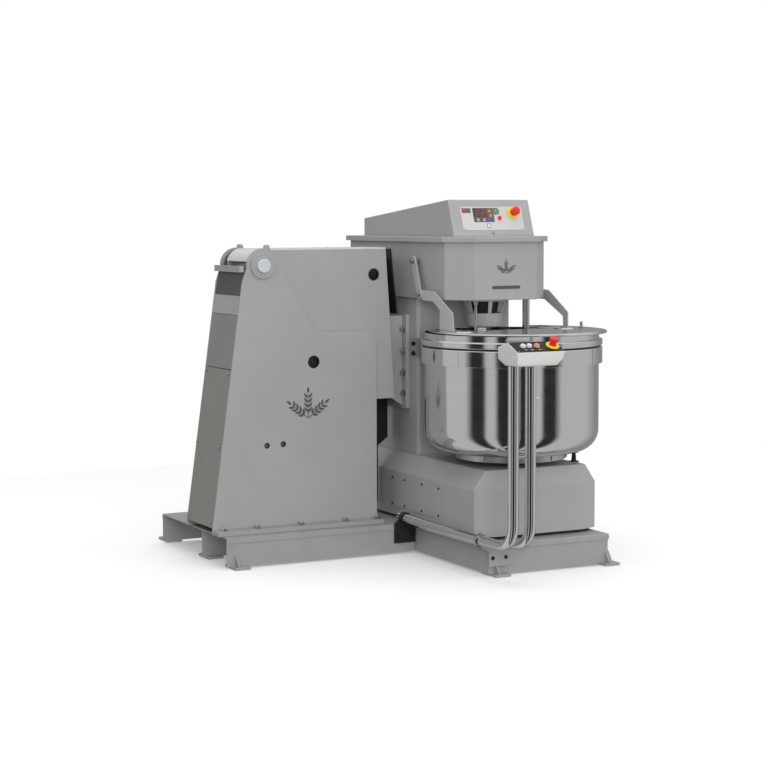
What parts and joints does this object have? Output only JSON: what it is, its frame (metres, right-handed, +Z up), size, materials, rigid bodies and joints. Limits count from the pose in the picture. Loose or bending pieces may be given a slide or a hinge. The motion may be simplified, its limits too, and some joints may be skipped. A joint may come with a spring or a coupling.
{
  "type": "self-tipping spiral dough mixer",
  "caption": "Floor-standing spiral dough mixer on an arm that a side tower lifts and turns over, with a turning bowl, hinged round lid, control panel and a push-button box on a tube stand.",
  "frame": {"origin": "centre of the overall footprint, on the floor under the feet", "axes": "+X to the machine's right, +Y to its back, +Z up"},
  "size_m": [1.757, 2.04, 1.679],
  "materials": {
    "grey_paint": "satin",
    "beige_paint": "satin",
    "black_paint": "satin",
    "stainless": "brushed, near mirror on the bowl",
    "machined_steel": "machined",
    "cast_iron": "cast",
    "rubber": "matte",
    "box_plastic": "matte",
    "panel_foil": "satin",
    "motor_casing": "painted",
    "red_plastic": "gloss",
    "yellow_plastic": "gloss",
    "green_plastic": "gloss",
    "white_plastic": "gloss",
    "orange_plastic": "gloss"
  },
  "bodies": {
    "floor_frame": {"tower_base": "grey_paint", "mixer_base": "grey_paint", "tower_front_plate": "grey_paint", "tower_back_plate": "grey_paint", "tower_foot_strip": "grey_paint", "tower_access_cover": "beige_paint", "tower_upper_cover": "grey_paint", "tower_tie_bar": "grey_paint", "tower_right_cover": "grey_paint", "pivot_bearing_front": "stainless", "pivot_bearing_back": "stainless", "tip_gearmotor": "motor_casing", "tip_chain": "cast_iron", "stand_rear_clamp": "black_paint", "stand_sleeve": "stainless"},
    "tipping_mixer": {"arm_front_plate": "grey_paint", "arm_back_plate": "grey_paint", "arm_top_plate": "stainless", "pivot_shaft": "machined_steel", "lift_beam": "black_paint", "mount_flange": "grey_paint", "column": "grey_paint", "head_cover": "grey_paint", "head_plate": "grey_paint", "top_plate": "grey_paint", "hood": "grey_paint", "control_plate": "panel_foil", "panel_estop_collar": "yellow_plastic", "lower_body": "grey_paint", "body_side_cover": "grey_paint", "bowl_bearing": "cast_iron", "guard_ring": "stainless", "spiral_housing": "stainless", "spiral_belt": "rubber", "spiral_motor": "motor_casing", "bowl_belt": "rubber", "bowl_motor": "motor_casing", "breaker_bar": "stainless", "temperature_probe": "stainless"},
    "tip_sprocket": {"tip_drive_sprocket": "machined_steel"},
    "bowl_group": {"bowl": "stainless", "bowl_drive_ring": "machined_steel", "bowl_shaft": "cast_iron"},
    "spiral_group": {"spiral_tool": "stainless", "spiral_pulley": "cast_iron"},
    "spiral_motor_shaft": {"spiral_motor_pulley": "cast_iron"},
    "bowl_motor_shaft": {"bowl_motor_pulley": "cast_iron"},
    "lid_group": {"lid_plate": "stainless", "lid_arm_left": "stainless", "lid_arm_right": "stainless"},
    "stand_group": {"stand_post": "stainless", "control_box": "box_plastic", "box_estop_collar": "yellow_plastic"},
    "panel_estop": {"panel_estop_button": "red_plastic"},
    "start_key": {"start_button": "green_plastic"},
    "stop_key": {"stop_button": "red_plastic"},
    "box_estop": {"box_estop_button": "red_plastic"},
    "box_key_1": {"box_button_1": "white_plastic"},
    "box_key_2": {"box_button_2": "white_plastic"},
    "box_key_3": {"box_button_3": "orange_plastic"}
  },
  "joints": [
    {"name": "tip", "type": "hinge", "parent": "floor_frame", "child": "tipping_mixer", "pos_m": [-0.612, 0.35, 1.377], "axis": [0, -1, 0], "range_deg": [0, 115]},
    {"name": "tip_drive", "type": "hinge", "parent": "floor_frame", "child": "tip_sprocket", "pos_m": [-0.556, 0.45, 0.49], "axis": [0, -1, 0], "range_deg": [0, 230]},
    {"name": "bowl_spin", "type": "hinge", "parent": "tipping_mixer", "child": "bowl_group", "pos_m": [0.427, -0.3, 0.5], "axis": [0, 0, 1], "continuous": true},
    {"name": "spiral_spin", "type": "hinge", "parent": "tipping_mixer", "child": "spiral_group", "pos_m": [0.399, -0.1, 1.2], "axis": [0, 0, 1], "continuous": true},
    {"name": "spiral_motor_spin", "type": "hinge", "parent": "tipping_mixer", "child": "spiral_motor_shaft", "pos_m": [0.427, 0.6, 1.28], "axis": [0, 0, 1], "continuous": true},
    {"name": "bowl_motor_spin", "type": "hinge", "parent": "tipping_mixer", "child": "bowl_motor_shaft", "pos_m": [0.427, 0.45, 0.25], "axis": [0, 0, 1], "continuous": true},
    {"name": "lid_hinge", "type": "hinge", "parent": "tipping_mixer", "child": "lid_group", "pos_m": [0.427, 0.103, 1.392], "axis": [-1, 0, 0], "range_deg": [0, 50]},
    {"name": "stand_swing", "type": "hinge", "parent": "floor_frame", "child": "stand_group", "pos_m": [0.05, -0.66, 0.172], "axis": [0, -1, 0], "range_deg": [0, 75]},
    {"name": "panel_estop_press", "type": "slide", "parent": "tipping_mixer", "child": "panel_estop", "axis": [0, 0.9422, -0.3349], "range_m": [0, 0.005], "stiffness_N_per_m": 900, "springref_m": -0.002},
    {"name": "start_press", "type": "slide", "parent": "tipping_mixer", "child": "start_key", "axis": [0, 0.9422, -0.3349], "range_m": [0, 0.003], "stiffness_N_per_m": 250, "springref_m": -0.002},
    {"name": "stop_press", "type": "slide", "parent": "tipping_mixer", "child": "stop_key", "axis": [0, 0.9422, -0.3349], "range_m": [0, 0.003], "stiffness_N_per_m": 250, "springref_m": -0.002},
    {"name": "box_estop_press", "type": "slide", "parent": "stand_group", "child": "box_estop", "axis": [0, 0.417, -0.9089], "range_m": [0, 0.005], "stiffness_N_per_m": 900, "springref_m": -0.002},
    {"name": "box_key_1_press", "type": "slide", "parent": "stand_group", "child": "box_key_1", "axis": [0, 0.417, -0.9089], "range_m": [0, 0.003], "stiffness_N_per_m": 250, "springref_m": -0.002},
    {"name": "box_key_2_press", "type": "slide", "parent": "stand_group", "child": "box_key_2", "axis": [0, 0.417, -0.9089], "range_m": [0, 0.003], "stiffness_N_per_m": 250, "springref_m": -0.002},
    {"name": "box_key_3_press", "type": "slide", "parent": "stand_group", "child": "box_key_3", "axis": [0, 0.417, -0.9089], "range_m": [0, 0.003], "stiffness_N_per_m": 250, "springref_m": -0.002}
  ],
  "couplings": [
    {"joint": "tip_drive", "follows": "tip", "ratio": 2},
    {"joint": "spiral_motor_spin", "follows": "spiral_spin", "ratio": 2.8444},
    {"joint": "bowl_motor_spin", "follows": "bowl_spin", "ratio": 4.5}
  ]
}
